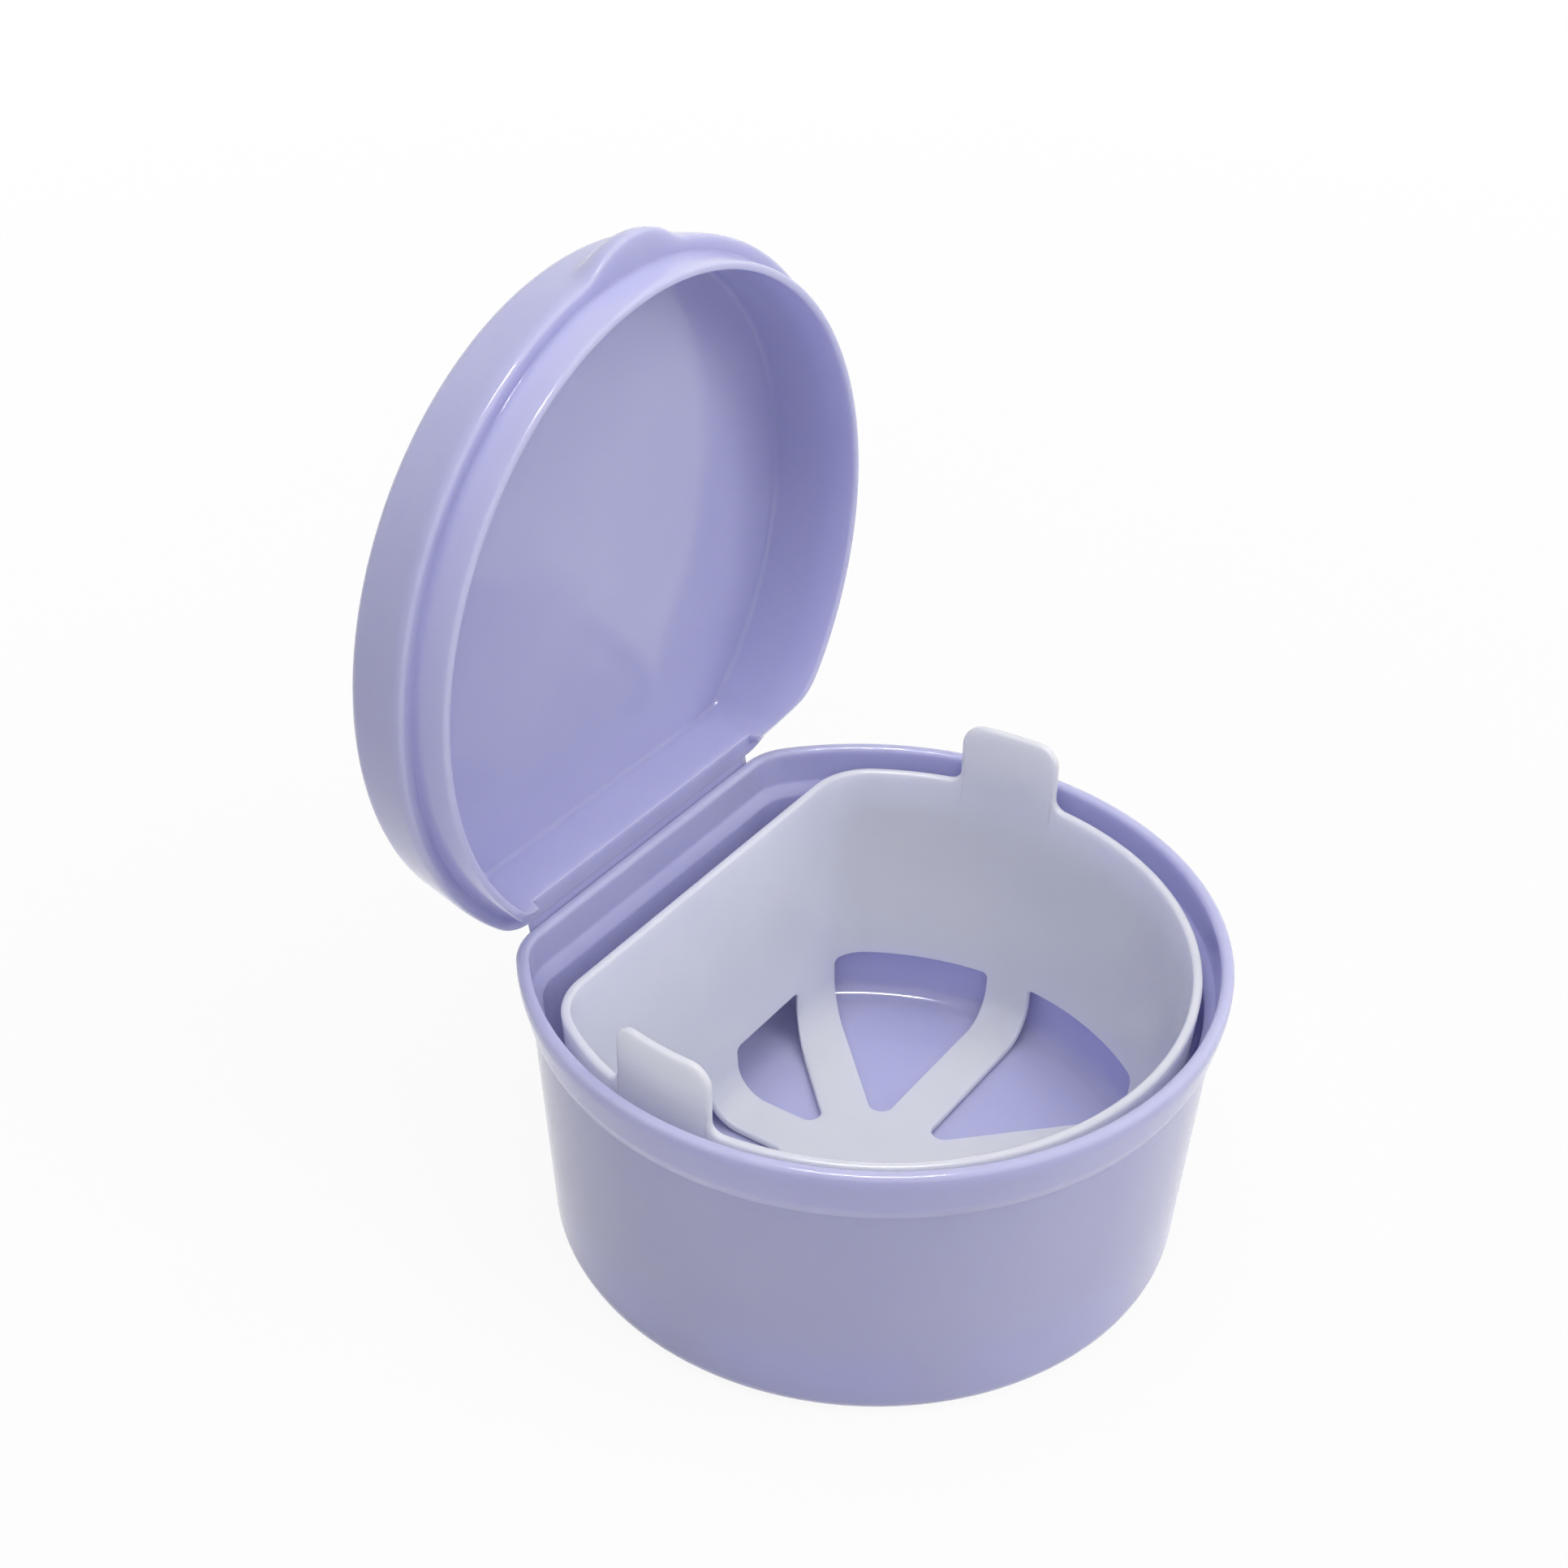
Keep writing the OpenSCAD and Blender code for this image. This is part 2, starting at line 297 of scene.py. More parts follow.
# Carries a profile of insets and heights round the path, then draws its two ends in to a point
# at the hub: point = hub + share * (rim - hub).
def carriedShell(path, line, hub=(0.0, -4.0)):
    direction = np.stack([np.cos(path["angle"]), np.sin(path["angle"])], -1)
    inset, height = line[:, 0], line[:, 1]
    out = path["radius"][None, :, None] - inset[:, None, None]
    plan = path["centre"][None] + out * direction[None]
    level = np.broadcast_to(height[:, None, None], (*plan.shape[:2], 1))
    shell = np.concatenate([plan, level], -1)
    centre = np.array(hub)
    share = np.linspace(0, 1, discRows, endpoint=False)[:, None, None]

    def disc(rim):
        flat = centre + share * (rim[None, :, :2] - centre)
        return np.concatenate([flat, np.full((*flat.shape[:2], 1), rim[0, 2])], -1)

    return np.concatenate([disc(shell[0]), shell, disc(shell[-1])[::-1]])


casePath = deePath(casePlan)

# Cup: its wall leans out to a band below the rim, with a ledge inside at the band.
cup = {
    "height": 42.0,
    "wall": 1.6,
    "floor": 1.8,
    "taper": 2.3,
    "bandLean": 0.9,
    "bandOut": 0.7,
    "bandFall": 1.6,
    "plainAt": 40.2,     # above this the band is upright
    "stepAt": 34.45,
    "ledgeAt": 37.15,
    "lipTaper": 0.25,
    "rimRound": 0.7,
    "footRound": 2.6,
    "wellRound": 3.0,
    "stepRound": 0.5,
    "bandRound": 6.0,
    "ledgeRound": 0.8,
    "footIn": 8.0,       # inset of the flat disc below
    "wellIn": 8.5,       # and of the one inside
}
wallIn = cup["bandLean"] + cup["bandOut"]
cupLow = wallIn + cup["taper"]
cupSlope = cup["taper"] / cup["stepAt"]
ledgeFoot = cup["ledgeAt"] - wallIn
# inset from the widest outline, height and rounding, from the underside over the rim to the floor
cupLine = heldLine(roundedLine([
    (cup["footIn"], 0.0, 0),
    (cupLow, 0.0, cup["footRound"]),
    (wallIn, cup["stepAt"], cup["stepRound"]),
    (cup["bandLean"], cup["stepAt"] + cup["bandFall"], cup["bandRound"]),
    (0.0, cup["plainAt"], cup["bandRound"]),
    (0.0, cup["height"], cup["rimRound"]),
    (cup["wall"], cup["height"], cup["rimRound"]),
    (cup["wall"] + cup["lipTaper"], cup["ledgeAt"], cup["ledgeRound"]),
    (cupLow - cupSlope * ledgeFoot + cup["wall"], ledgeFoot, cup["ledgeRound"]),
    (cupLow - cupSlope * cup["floor"] + cup["wall"], cup["floor"], cup["wellRound"]),
    (cup["wellIn"], cup["floor"], 0)]))
cupShell = makePiece("cupShell", [(carriedShell(casePath, cupLine), True)], lavenderPP)
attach(cupShell, "case")
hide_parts("base_cup")

# Lid, drawn closed on the cup and then turned open about the film's axis.
lid = {
    "seat": 42.15,
    "top": 51.65,
    "panel": 1.5,
    "topRound": 2.2,
    "taper": 1.6,
    "footAt": 43.4,      # below this the skirt is upright
    "footRound": 5.0,
    "underRound": 0.8,
    "flangeRound": 0.5,
    "flatIn": 8.0,       # inset of the flat discs
    "rowLength": 0.5,    # longest step of the profile
    "lipInset": 1.9,
    "lipThick": 1.3,
    "lipHeight": 4.6,
    "lipTaper": 0.25,
    "rootRound": 0.3,
    "rootSlack": 0.05,
    "tipRound": 0.42,
    "draft": 0.3,
    "lipStart": 1.0,     # from the back face
    "lipLean": 1.4,      # run for each millimetre of height
    "lipFade": 0.8,      # width over which it ends beside the flat back
    "lipWhole": 20.0,    # nearer the front than this it keeps its whole depth
    "noLimit": 1e3,
    "lipPower": 8,       # of the soft minimum
    "thumbOut": 2.5,
    "thumbRadius": 12.0,
    "thumbHeight": 5.2,
    "thumbSoft": 1.1,    # width over which it melts into the skirt
    "axis": (36.328912, 42.75),
}
lidIn = lid["top"] - lid["panel"]
lipTip = lid["seat"] - lid["lipHeight"]
lidWall = lid["lipInset"] + lid["lipThick"]
# inset, height and rounding, from the top over the flange and the lip to the inner panel
lidLine = heldLine(roundedLine([
    (lid["flatIn"], lid["top"], 0),
    (lid["taper"], lid["top"], lid["topRound"]),
    (0.0, lid["footAt"], lid["footRound"]),
    (0.0, lid["seat"], lid["flangeRound"]),
    (lid["lipInset"], lid["seat"], lid["rootRound"]),
    (lid["lipInset"] + lid["lipTaper"], lipTip, lid["tipRound"]),
    (lidWall, lipTip, lid["tipRound"]),
    (lidWall + lid["draft"], lidIn, lid["underRound"]),
    (lid["flatIn"], lidIn, 0)]), longest=lid["rowLength"])
x, y, z = np.moveaxis(carriedShell(casePath, lidLine), -1, 0)

# Plug lip: its depth is held below (distance from the back - start) / lean by the soft minimum
# a b / (a^n + b^n)^(1/n), and it ends where the flat back begins.
depth = np.maximum(lid["seat"] - z, 0)
limit = np.maximum((casePath["back"] - y - lid["lipStart"]) / lid["lipLean"], 0)
limit = np.maximum(limit * ease((np.abs(x) - casePath["half"]) / lid["lipFade"]), tiny)
limit = np.where(y < lid["lipWhole"], lid["noLimit"], limit)
power = lid["lipPower"]
held = depth * limit / (depth ** power + limit ** power) ** (1 / power)
z = np.where(depth > 0, lid["seat"] - held, z)

# Thumb rest: the skirt moves out to a torus, whose plan radius at height h over the seat is
# R - H + sqrt(H^2 - h^2), with a polynomial soft maximum; below the flange the move fades out
# at the lip's root.
bearing = np.arctan2(y, x)
reach = np.hypot(x, y)
square = np.clip(lid["thumbHeight"] ** 2 - (z - lid["seat"]) ** 2, 0, None)
torus = lid["thumbRadius"] - lid["thumbHeight"] + np.sqrt(square)
back = casePlan["radius"] + lid["thumbOut"] - lid["thumbRadius"]
inside = torus ** 2 - (back * np.cos(bearing)) ** 2
skirt = np.where(z > lid["seat"] + lid["flangeRound"], reach, casePlan["radius"])
ray = -back * np.sin(bearing) + np.sqrt(np.maximum(inside, 0))
out = np.where((inside > 0) & (square > 0) & (y < 0), ray, 0) - skirt
soft = np.maximum(lid["thumbSoft"] - np.abs(out), 0) / lid["thumbSoft"]
move = np.maximum(out, 0) + soft ** 2 * lid["thumbSoft"] / 4
inset = casePlan["radius"] - reach
rows = np.arange(len(z))[:, None]
lipRow = int(np.argmax(lidLine[:, 1] < lid["seat"] - lid["rootSlack"])) + discRows
fade = ease((lid["lipInset"] - inset) / (lid["lipInset"] - lid["flangeRound"]))
fade = np.where(z > lid["seat"] + tiny, 1, fade)
move = np.where(rows < lipRow, move * fade, 0)
x, y = x + move * np.cos(bearing), y + move * np.sin(bearing)

# Quarter turn backwards about the axis: height over the axis becomes distance behind it,
# and distance behind it becomes height below it.
axisY, axisZ = lid["axis"]
openLid = np.stack([x, axisY + z - axisZ, axisZ - y + axisY], -1)
lidShell = makePiece("lidShell", [(openLid, True)], lavenderPP)
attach(lidShell, "cover")
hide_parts("lid")

# Film hinge: a thin web from the back of the cup up to the back of the lid, along the whole flat.
film = {
    "low": 40.4,
    "hold": 0.9,
    "high": 43.0,
    "thick": 0.4,
    "shift": 0.3,         # how much further back the web's face is at the lid
    "edgeRound": 0.35,    # height over which the lower edge rounds off
    "edgeLeast": 0.02,
    "steps": 22,
    "along": 40,
}
filmBack = casePath["back"]
rise = np.linspace(film["low"], film["high"], film["steps"])
free = film["high"] - film["low"] - film["hold"]
lean = film["shift"] * np.clip((rise - film["low"] - film["hold"]) / free, 0, 1)
taper = np.clip((rise - film["low"]) / film["edgeRound"], film["edgeLeast"], 1)
front = np.stack([filmBack + lean, rise], -1)
rear = np.stack([filmBack + lean + film["thick"] * np.sqrt(taper), rise], -1)
loop = np.concatenate([front, rear[::-1]])
across = np.linspace(-casePath["half"], casePath["half"], film["along"])


# sets a line of (y, z) points at each x
def acrossX(line, xs):
    grid = np.broadcast_to(line[None], (len(xs), *line.shape))
    return np.concatenate([np.broadcast_to(xs[:, None, None], (*grid.shape[:2], 1)), grid], -1)


endCaps = []
for k in (0, -1):
    edges = [acrossX(side, across[[k]])[0] for side in (front, rear)]
    endCaps.append((np.stack(edges), False))
filmHinge = makePiece("filmHinge", [(acrossX(loop, across), True), *endCaps], filmPP)
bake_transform(filmHinge)
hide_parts("living_hinge")

# Basket: a D-plan strainer with eight spokes, openings that run up the wall, and two lift tabs.
basket = {
    "radius": 41.25,
    "corner": 9.5,
    "bearing": (0.8432, 0.5376),
    "thick": 1.2,
    "floor": 1.95,
    "lipAt": 39.75,
    "top": 40.2,
    "lean": 2.9,
    "bend": 6.0,
    "rimRound": 0.45,
    "rimSteps": 7,
    "spokes": 8,
    "spokeWide": 6.8,
    "pointRound": 1.7,
    "shoulder": 0.8,
    "openTop": 10.25,
    "edgeRound": 0.3,
    "ringAt": 12.0,       # where the plain wall takes over above the openings
    "hubShare": 0.75,     # of the points round an inner point that run down the spoke to the hub
    "tabWide": 14.2,
    "tabTop": 49.45,
    "tabRound": 3.0,
    "tabFoot": 1.6,
    "tabTurn": 5.0,       # degrees behind the side-to-side line
    "tabInset": 0.1,
    "insetOver": 1.4,     # rise over which a tab grows that much thinner on each side
    "riseUnit": 10.0,     # rise above the lip for each unit of the meridian
    "climbRows": 18,
    "blendRows": 9,
    "blendPower": 1.3,    # above 1, the rows gather at the openings
}
wallSlope = basket["lean"] / (basket["lipAt"] - basket["floor"])
leanAngle = math.atan(wallSlope)
bendInset = basket["lean"] + basket["bend"] * (math.sqrt(1 + wallSlope ** 2) - wallSlope)
bendUp = basket["floor"] + basket["bend"]
cornerX, cornerY = ((basket["radius"] - basket["corner"]) * b for b in basket["bearing"])
cornerTurn = math.atan2(basket["bearing"][1], basket["bearing"][0])


# Length of a ray from the centre to the basket's D inset by u: the front arc, a corner arc
# (root of the ray and circle equation) or the flat back.
def rayLength(angle, u):
    side = np.pi / 2 - np.abs((angle - np.pi / 2 + np.pi) % (2 * np.pi) - np.pi)
    dot = cornerX * np.cos(side) + cornerY * np.sin(side)
    square = (basket["corner"] - u) ** 2 - cornerX ** 2 - cornerY ** 2 + dot ** 2
    cornerRay = dot + np.sqrt(np.maximum(square, 0))
    backAt = cornerY + basket["corner"] - u
    backRay = backAt / np.maximum(np.sin(side), 1e-3)   # finite for rays that miss the back
    return np.where(side < cornerTurn, basket["radius"] - u,
                    np.where(side < np.arctan2(backAt, cornerX), cornerRay, backRay))


# Inset, height and share of the way out for a place w on the meridian and e through the
# thickness: floor for w 0 to 1, bend for 1 to 2, leaning wall for 2 to 3, then straight up.
def meridian(w, e):
    w, e = np.broadcast_arrays(np.asarray(w, float), np.asarray(e, float))
    r = basket["bend"] - basket["thick"] * e
    a = -np.pi / 2 + np.clip(w - 1, 0, 1) * (np.pi / 2 - leanAngle)
    u, z = bendInset - r * np.cos(a), bendUp + r * np.sin(a)
    f = np.clip(w - 2, 0, 1)
    u = u + f * (basket["thick"] * e - u)
    z = z + f * (basket["lipAt"] - z)
    rise = np.maximum(w - 3, 0) * basket["riseUnit"]
    u = u + basket["tabInset"] * (1 - 2 * e) * ease(rise / basket["insetOver"])
    return u, z + rise, np.clip(w, 0, 1)


# the place w of a height on the wall or above it
def wallPlace(z, e):
    low = bendUp - (basket["bend"] - basket["thick"] * e) * math.sin(leanAngle)
    onWall = 2 + (z - low) / (basket["lipAt"] - low)
    above = 3 + (z - basket["lipAt"]) / basket["riseUnit"]
    return np.where(z <= basket["lipAt"], onWall, above)


# point at an angle and a place: that share of the ray outwards, at the meridian's height
def onBasket(angle, w, e):
    u, z, share = meridian(w, e)
    r = share * rayLength(angle, u)
    return np.stack([r * np.cos(angle), r * np.sin(angle), z + 0 * r], -1)


# Angle at which a line parallel to a spoke, d away from its middle, is met:
# angle = spoke -+ asin(d / r), by repetition from a first guess.
def besideSpoke(spoke, side, d, w, e, guess=0.1, repeats=14, most=0.95):
    u, _, share = meridian(w, e)
    angle = spoke - side * guess + 0 * u
    for _ in range(repeats):
        sine = d / (share * rayLength(angle, u))
        angle = spoke - side * np.arcsin(np.clip(sine, -most, most))
    return angle


halfStep = math.pi / basket["spokes"]
halfSpoke = basket["spokeWide"] / 2
pointAt = (basket["pointRound"] + halfSpoke) / math.sin(halfStep)
tangentAt = pointAt * math.cos(halfStep)
shoulderUp = basket["openTop"] - basket["shoulder"]
sideRuns = {"shoulder": 5, "wall": 4, "bend": 12, "floor": 12, "point": 12}


# Half of an opening's edge, grown by d, at e through the thickness: along the top, round the
# shoulder, down the wall, round the bend, along the spoke and round the inner point,
# as angles and places w.
def openingEdge(middle, side, columns, d, e):
    spoke = middle + side * halfStep
    r = basket["shoulder"] + d
    across = halfSpoke + basket["shoulder"]
    topW = wallPlace(basket["openTop"] + d, e)
    corner = besideSpoke(spoke, side, across, topW, e)
    topCount = columns - sideRuns["shoulder"]
    topAngle = middle + np.linspace(0, 1, topCount) * (corner - middle)
    eighths = [run(0, 0.25, sideRuns["shoulder"]), run(0.25, 0.5, sideRuns["shoulder"])]
    turn = np.concatenate(eighths) * np.pi
    turnW = wallPlace(shoulderUp + r * np.cos(turn), e)
    turnAngle = besideSpoke(spoke, side, across - r * np.sin(turn), turnW, e)
    tangent = np.arctan2(halfSpoke - d, tangentAt)
    endW = math.hypot(halfSpoke - d, tangentAt) / rayLength(spoke - side * tangent, bendInset)
    sideW = np.concatenate([
        run(wallPlace(shoulderUp, e), 2, sideRuns["wall"]),
        run(2, 1, sideRuns["bend"]),
        run(1, endW, sideRuns["floor"])])
    sideAngle = besideSpoke(spoke, side, halfSpoke - d, sideW, e)
    sweep = run(0, 1, sideRuns["point"]) * (np.pi / 2 - halfStep) + np.pi / 2 + halfStep
    facing = middle + side * sweep
    px = pointAt * np.cos(middle) + (basket["pointRound"] + d) * np.cos(facing)
    py = pointAt * np.sin(middle) + (basket["pointRound"] + d) * np.sin(facing)
    pointAngle = middle + (np.arctan2(py, px) - middle + np.pi) % (2 * np.pi) - np.pi
    pointW = np.hypot(px, py) / rayLength(pointAngle, bendInset)
    angle = np.concatenate([topAngle, turnAngle, sideAngle, pointAngle])
    w = np.concatenate([np.full(topCount, topW), turnW, sideW, pointW])
    return angle, w


# Half of a sector's outer border, point for point with the opening's edge: along the plain wall,
# down the middle of the spoke to the hub, and at the hub round to the sector's own middle.
def sectorBorder(middle, side, columnAngles, e):
    spoke = middle + side * halfStep
    ringW = wallPlace(basket["ringAt"], e)
    drop = run(basket["ringAt"], shoulderUp, sideRuns["shoulder"])
    hub = run(0, 1, sideRuns["point"])
    onSpoke = basket["hubShare"]
    tangentW = tangentAt / rayLength(np.array(spoke), bendInset)
    w = np.concatenate([
        np.full(len(columnAngles), ringW),
        wallPlace(drop, e),
        run(wallPlace(shoulderUp, e), 2, sideRuns["wall"]),
        run(2, 1, sideRuns["bend"]),
        run(1, tangentW, sideRuns["floor"]),
        tangentW * np.clip(1 - hub / onSpoke, 0, 1)])
    below = len(w) - len(columnAngles)
    angle = np.concatenate([columnAngles, np.full(below, spoke)])
    swing = np.clip((hub - onSpoke) / (1 - onSpoke), 0, 1)
    angle[-len(hub):] = spoke + (middle - spoke) * swing
    return angle, w


# Path across an edge of the sheet, rounded on both sides: distance grown into the opening's
# border, radius * (1 - sin a), and share of thickness, radius * (1 - cos a) / thickness.
def edgePath(radius, steps=6):
    a = np.linspace(0, np.pi / 2, steps)
    d = radius * (1 - np.sin(a))
    e = radius * (1 - np.cos(a)) / basket["thick"]
    return np.concatenate([d, d[::-1]]), np.concatenate([e, 1 - e[::-1]])


# Outline of half a lift tab from its middle out along the rim: top, corner, side, foot fillet
# and rim, as (sideways, height) with the outward direction, at even steps of length.
def tabOutline(count, reach):
    wide, up, rim = basket["tabWide"] / 2, basket["tabTop"], basket["top"]
    r, foot = basket["tabRound"], basket["tabFoot"]
    straight = up - r - rim - foot
    runs = np.array([wide - r, r * np.pi / 2, straight, foot * np.pi / 2, reach - wide - foot])
    ends = np.concatenate([[0], np.cumsum(runs)])
    s = np.linspace(0, ends[-1], count)
    k = np.clip(np.searchsorted(ends, s, side="right") - 1, 0, len(runs) - 1)
    t = s - ends[k]
    c, f = np.pi / 2 - t / r, np.pi + t / foot
    none, one = 0 * t, 1 + 0 * t
    sideways = np.choose(k, [
        t, wide - r + r * np.cos(c), wide + none, wide + foot + foot * np.cos(f), wide + foot + t])
    height = np.choose(k, [
        up + none, up - r + r * np.sin(c), up - r - t, rim + foot + foot * np.sin(f), rim + none])
    outX = np.choose(k, [none, np.cos(c), one, -np.cos(f), none])
    outZ = np.choose(k, [one, np.sin(c), none, -np.sin(f), one])
    return sideways, height, outX, outZ


# Columns of the wall: angle at the ring, and the rim's outline above it,
# which climbs over the two tabs.
def wallColumns(tabReach=16.0, tabCount=66, step=1.1):
    tabMid = basket["radius"] - basket["thick"] / 2
    spread = math.asin(tabReach / tabMid)
    tabTurn = math.radians(basket["tabTurn"])
    tabAngles = np.array([tabTurn, math.pi - tabTurn])
    quarter = basket["spokes"] // 2
    # spokes and sector middles, over one turn from -90 degrees
    marks = np.arange(-quarter, 2 * basket["spokes"] - quarter + 1) * halfStep
    zones = [(a - spread, a + spread) for a in tabAngles]
    plain = [m for m in marks if all(not (low < m < high) for low, high in zones)]
    stops = sorted(plain + [v for z in zones for v in z])
    s, h, nx, nz = tabOutline(tabCount, tabReach)
    columns = []
    for low, high in zip(stops[:-1], stops[1:]):
        zone = next((i for i, z in enumerate(zones) if abs(low - z[0]) < sameAngle), None)
        if zone is None:
            count = max(2, int(math.ceil(math.degrees(high - low) / step)))
            a = np.linspace(low, high, count, endpoint=False)
            none = np.zeros(count)
            columns.append((a, none, none + basket["top"], none, none + 1, np.full(count, -1)))
        else:
            a = np.linspace(low, high, 2 * tabCount - 1)[:-1]
            within = [m for m in marks if low < m < high]
            near = [int(np.argmin(np.abs(a - m))) for m in within]
            a[near] = within   # a column falls on every spoke and sector middle
            whole = [np.concatenate([sign * v[::-1], v[1:]])[:-1]
                     for sign, v in ((-1, s), (1, h), (-1, nx), (1, nz))]
            columns.append((a, *whole, np.full(len(a), zone)))
    base, sideways, height, outX, outZ, tabOf = (np.concatenate(v) for v in zip(*columns))
    tabAngle = np.where(tabOf < 0, 0, tabAngles[np.maximum(tabOf, 0)])

    # the rim drawn in by d: on a tab the angle is the tab's + asin(sideways / radius)
    def rim(d):
        onTab = tabAngle + np.arcsin((sideways - d * outX) / tabMid)
        return np.where(tabOf < 0, base, onTab), height - d * outZ

    return base, rim, marks


columnAngles, rimAt, marks = wallColumns()
climb = np.linspace(0, 1, basket["climbRows"])[:, None]
topAngle, topZ = rimAt(basket["rimRound"])
angle = columnAngles + ease(climb) * (topAngle - columnAngles)
rise = basket["ringAt"] + climb * (topZ - basket["ringAt"])
outerWall, innerWall = [onBasket(angle, wallPlace(rise, e), e) for e in (0.0, 1.0)]
rimD, rimE = edgePath(basket["rimRound"], basket["rimSteps"])
crest = []
for d, e in zip(rimD[1:-1], rimE[1:-1]):
    angle, rise = rimAt(d)
    crest.append(onBasket(angle, wallPlace(rise, e), e))
wallGrid = np.concatenate([outerWall, np.stack(crest), innerWall[::-1]])
basketGrids = [(wallGrid, True)]

openD, openE = edgePath(basket["edgeRound"])
blend = np.linspace(1, 0, basket["blendRows"])[:, None] ** basket["blendPower"]
for k in range(basket["spokes"]):
    middle = marks[2 * k + 1]
    for side in (-1, 1):
        end = middle + side * halfStep
        low, high = min(middle, end) - sameAngle, max(middle, end) + sameAngle
        own = np.sort(columnAngles[(columnAngles >= low) & (columnAngles <= high)])
        if high > marks[-1]:
            own = np.append(own, marks[-1])
        own = own if side > 0 else own[::-1]
        sheets = []
        for e in (0.0, 1.0):
            edgeAngle, edgeW = openingEdge(middle, side, len(own), basket["edgeRound"], e)
            borderAngle, borderW = sectorBorder(middle, side, own, e)
            angle = edgeAngle + blend * (borderAngle - edgeAngle)
            sheets.append(onBasket(angle, edgeW + blend * (borderW - edgeW), e))
        lips = [onBasket(*openingEdge(middle, side, len(own), d, e), e)
                for d, e in zip(openD[1:-1], openE[1:-1])]
        sector = np.concatenate([sheets[0], np.stack(lips), sheets[1][::-1]])
        basketGrids.append((sector, False))
basketShell = makePiece("strainerBasket", basketGrids, milkyPPWithPaintedBounce)
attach(basketShell, "basket")
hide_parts("strainer_basket")
print("pieces made")

# Camera: place and turn found from the outlines of the rim, lid and basket, for a square picture.
camera = {
    "place": (-220.89, -131.59, 235.30),
    "azimuth": -56.59,
    "elevation": 33.62,
    "roll": 1.13,
    "lens": 58.508,
    "sensor": 36.0,
    "clip": (0.01, 20.0),   # m
}
a, e, r = (math.radians(camera[k]) for k in ("azimuth", "elevation", "roll"))
back = Vector((math.sin(a) * math.cos(e), -math.cos(a) * math.cos(e), math.sin(e)))
right = Vector((math.cos(a), math.sin(a), 0))
up = back.cross(right)
rolledRight = math.cos(r) * right + math.sin(r) * up
rolledUp = math.cos(r) * up - math.sin(r) * right
lens = bpy.data.cameras.new("photoView")
lens.sensor_fit = "HORIZONTAL"
lens.sensor_width = camera["sensor"]
lens.lens = camera["lens"]
lens.clip_start, lens.clip_end = camera["clip"]
viewer = bpy.data.objects.new("photoView", lens)
bpy.context.scene.collection.objects.link(viewer)
viewer.matrix_world = Matrix.Translation(Vector(camera["place"]) * mm) @ Matrix(
    (rolledRight, rolledUp, back)).transposed().to_4x4()
bpy.context.scene.camera = viewer

# Stage: a pale floor that fades to white away from the part, soft lamps and a long tube
# that gives the glints. Lengths are in metres.
stage = {
    "floorSize": 6.0,
    "floorDrop": 2e-5,
    "floorTone": "#e4e4e8",
    "floorGlow": 0.92,
    "fadeFrom": 0.12,     # from the middle
    "fadeTo": 0.5,
    "speckScale": 40.0,
    "mattLow": 0.9,
    "mattHigh": 1.0,
    "worldTone": "#eef0ff",
    "worldLevel": 0.05,
    "white": (1, 1, 1, 1),
    "aim": (0, 0, 0.05),
}


# 1 where the ray comes from the camera, a reflection or a clear material: largest of the answers
def seenDirectly(tree):
    path = addNode(tree, "ShaderNodeLightPath")
    seen = path.outputs["Is Camera Ray"]
    for kind in ("Is Glossy Ray", "Is Transmission Ray"):
        larger = addNode(tree, "ShaderNodeMath", {0: seen, 1: path.outputs[kind]},
                         operation="MAXIMUM")
        seen = larger.outputs[0]
    return seen


# Matt studio paper: white to the eye, and it still takes the object's soft shadow.
paper, tree = newMaterial("mattStudioPaper")
where = addNode(tree, "ShaderNodeTexCoord").outputs["Object"]
speck = addNode(tree, "ShaderNodeTexNoise", {"Vector": where, "Scale": stage["speckScale"]})
away = addNode(tree, "ShaderNodeVectorMath", {0: where}, operation="LENGTH")
fade = addNode(tree, "ShaderNodeMapRange", {
    "Value": away.outputs["Value"],
    "From Min": stage["fadeFrom"],
    "From Max": stage["fadeTo"],
    "To Min": stage["floorGlow"],
    "To Max": 1.0,
})
tone = addNode(tree, "ShaderNodeMapRange", {
    "Value": speck.outputs["Fac"],
    "To Min": stage["mattLow"],
    "To Max": stage["mattHigh"],
})
matt = addNode(tree, "ShaderNodeBsdfDiffuse", {
    "Color": linear(stage["floorTone"]),
    "Roughness": tone.outputs["Result"],
})
glow = addNode(tree, "ShaderNodeEmission", {"Color": stage["white"], "Strength": 1.0})
share = addNode(tree, "ShaderNodeMath", {0: seenDirectly(tree), 1: fade.outputs["Result"]},
                operation="MULTIPLY")
both = addNode(tree, "ShaderNodeMixShader", {
    0: share.outputs[0],
    1: matt.outputs[0],
    2: glow.outputs[0],
})
addNode(tree, "ShaderNodeOutputMaterial", {"Surface": both.outputs[0]})
floorMesh = bpy.data.meshes.new("paperFloor")
half, level = stage["floorSize"] / 2, -stage["floorDrop"]
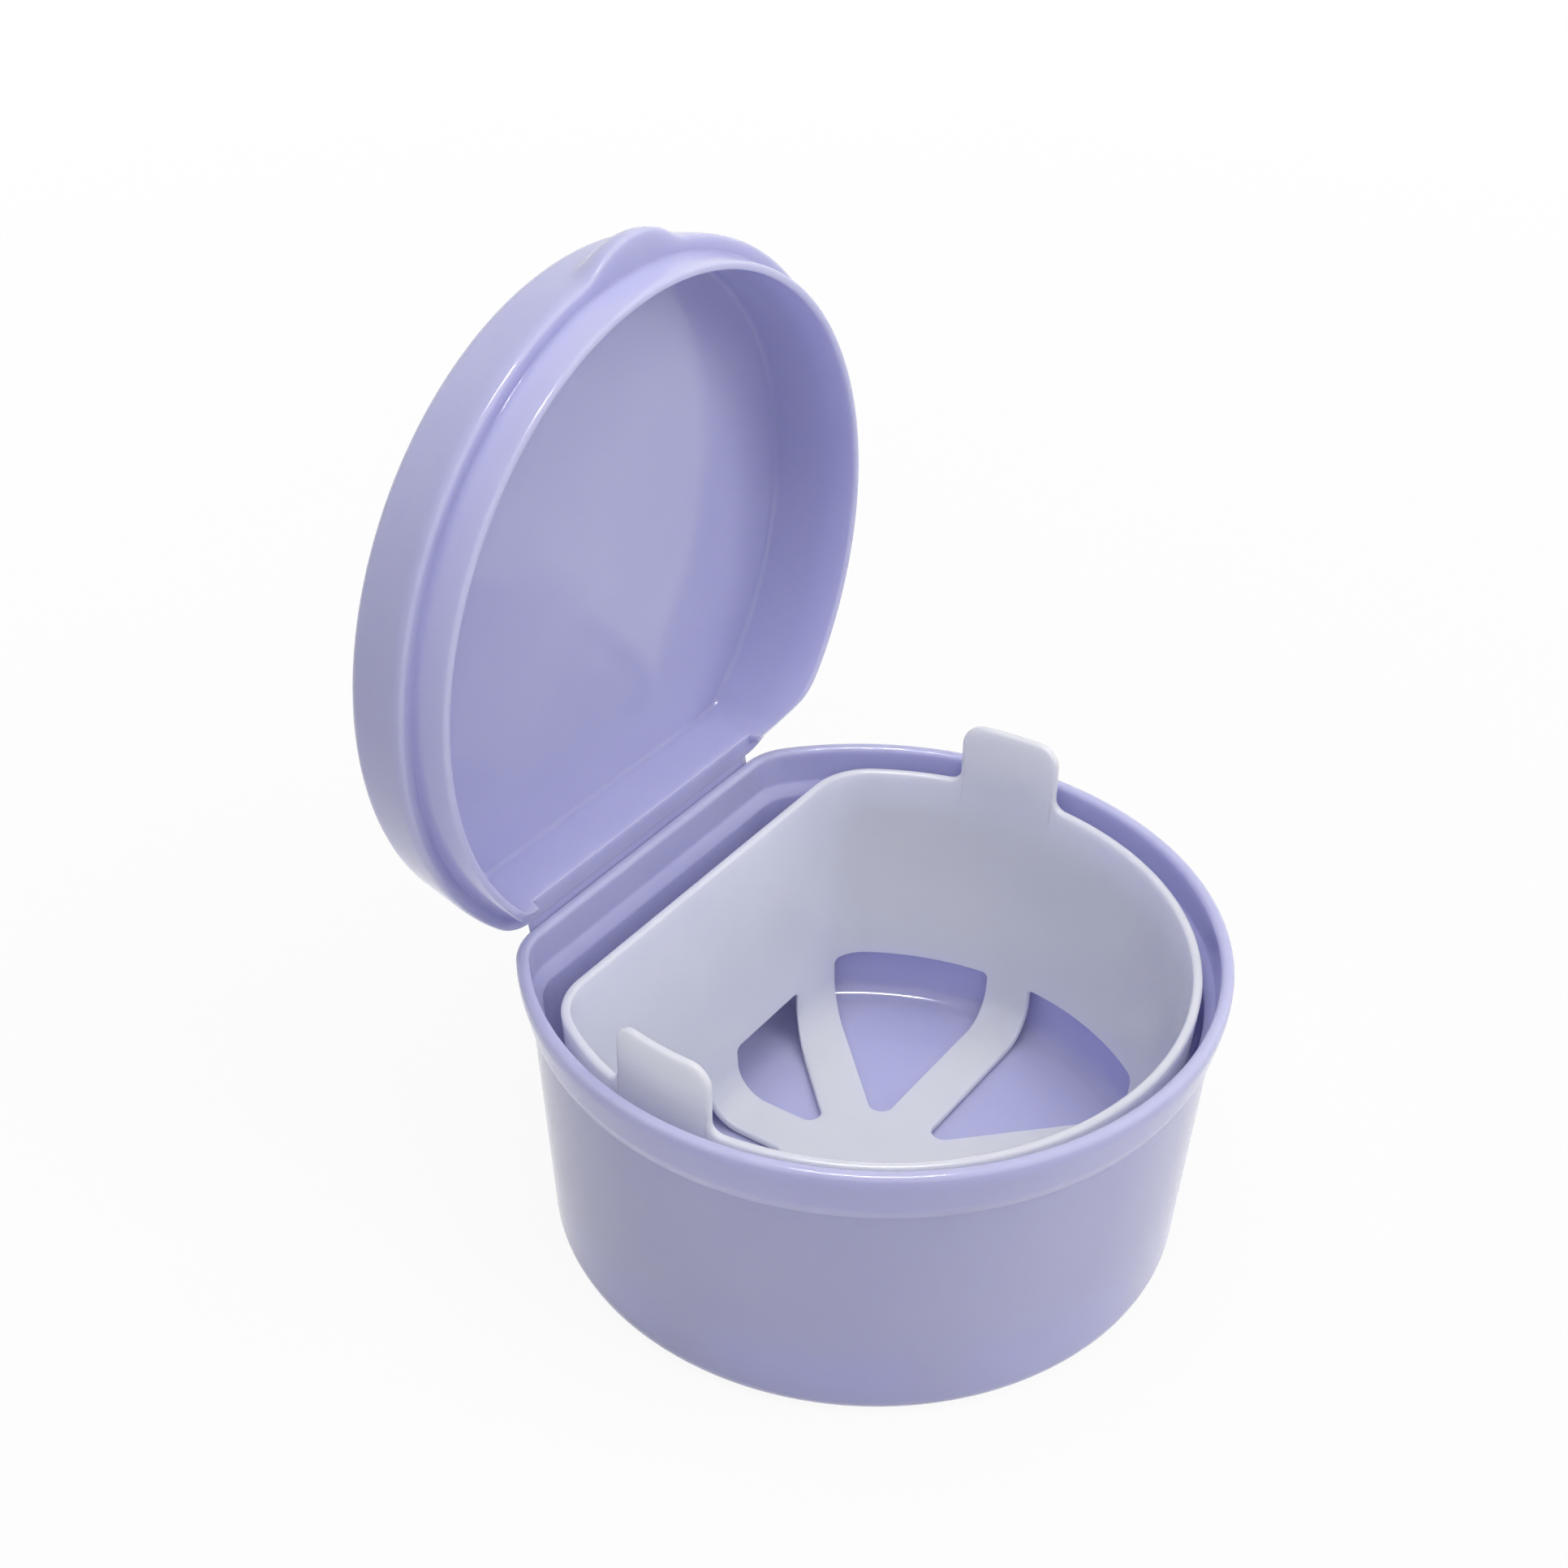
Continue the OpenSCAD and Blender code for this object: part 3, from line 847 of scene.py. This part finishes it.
corners = [(-half, -half, level), (half, -half, level), (half, half, level), (-half, half, level)]
floorMesh.from_pydata(corners, [], [(0, 1, 2, 3)])
floorMesh.materials.append(paper)
floor = bpy.data.objects.new("paperFloor", floorMesh)
bpy.context.scene.collection.objects.link(floor)

world = bpy.data.worlds.new("studio")
bpy.context.scene.world = world
world.use_nodes = True
world.node_tree.nodes.clear()
tree = world.node_tree
dim = addNode(tree, "ShaderNodeBackground", {
    "Color": linear(stage["worldTone"]),
    "Strength": stage["worldLevel"],
})
white = addNode(tree, "ShaderNodeBackground", {"Color": stage["white"], "Strength": 1.0})
both = addNode(tree, "ShaderNodeMixShader", {
    0: seenDirectly(tree),
    1: dim.outputs[0],
    2: white.outputs[0],
})
addNode(tree, "ShaderNodeOutputWorld", {"Surface": both.outputs[0]})

# metres and watts
lamps = {
    "overhead": {"at": (0.0, 0.0, 1.0), "size": (1.0, 1.0), "power": 8.2},
    "rightLow": {"at": (0.7, -0.9, 0.35), "size": (0.4, 0.4), "power": 2.6},
    "front": {"at": (0.15, -0.85, 0.95), "size": (0.8, 0.8), "power": 4.2},
    "viewerSide": {"at": (-0.8, -0.55, 0.7), "size": (0.8, 0.8), "power": 3.4},
    "tube": {"at": (-0.2, -0.13, 0.9), "size": (0.4, 0.03), "power": 6.0, "glint": True},
}
for name, lamp in lamps.items():
    light = bpy.data.lights.new(name, "AREA")
    light.shape = "RECTANGLE"
    light.size, light.size_y = lamp["size"]
    light.energy = lamp["power"]
    holder = bpy.data.objects.new(name, light)
    # the soft lamps leave no streaks in the gloss, and the tube gives glints alone
    holder.visible_glossy = lamp.get("glint", False)
    holder.visible_diffuse = not holder.visible_glossy
    bpy.context.scene.collection.objects.link(holder)
    place = Vector(lamp["at"])
    outward = (place - Vector(stage["aim"])).normalized()
    along = (right - right.dot(outward) * outward).normalized()   # level across the picture
    holder.matrix_world = Matrix.Translation(place) @ Matrix(
        (along, outward.cross(along), outward)).transposed().to_4x4()
print("stage lit")

bpy.context.scene.view_settings.view_transform = "Standard"
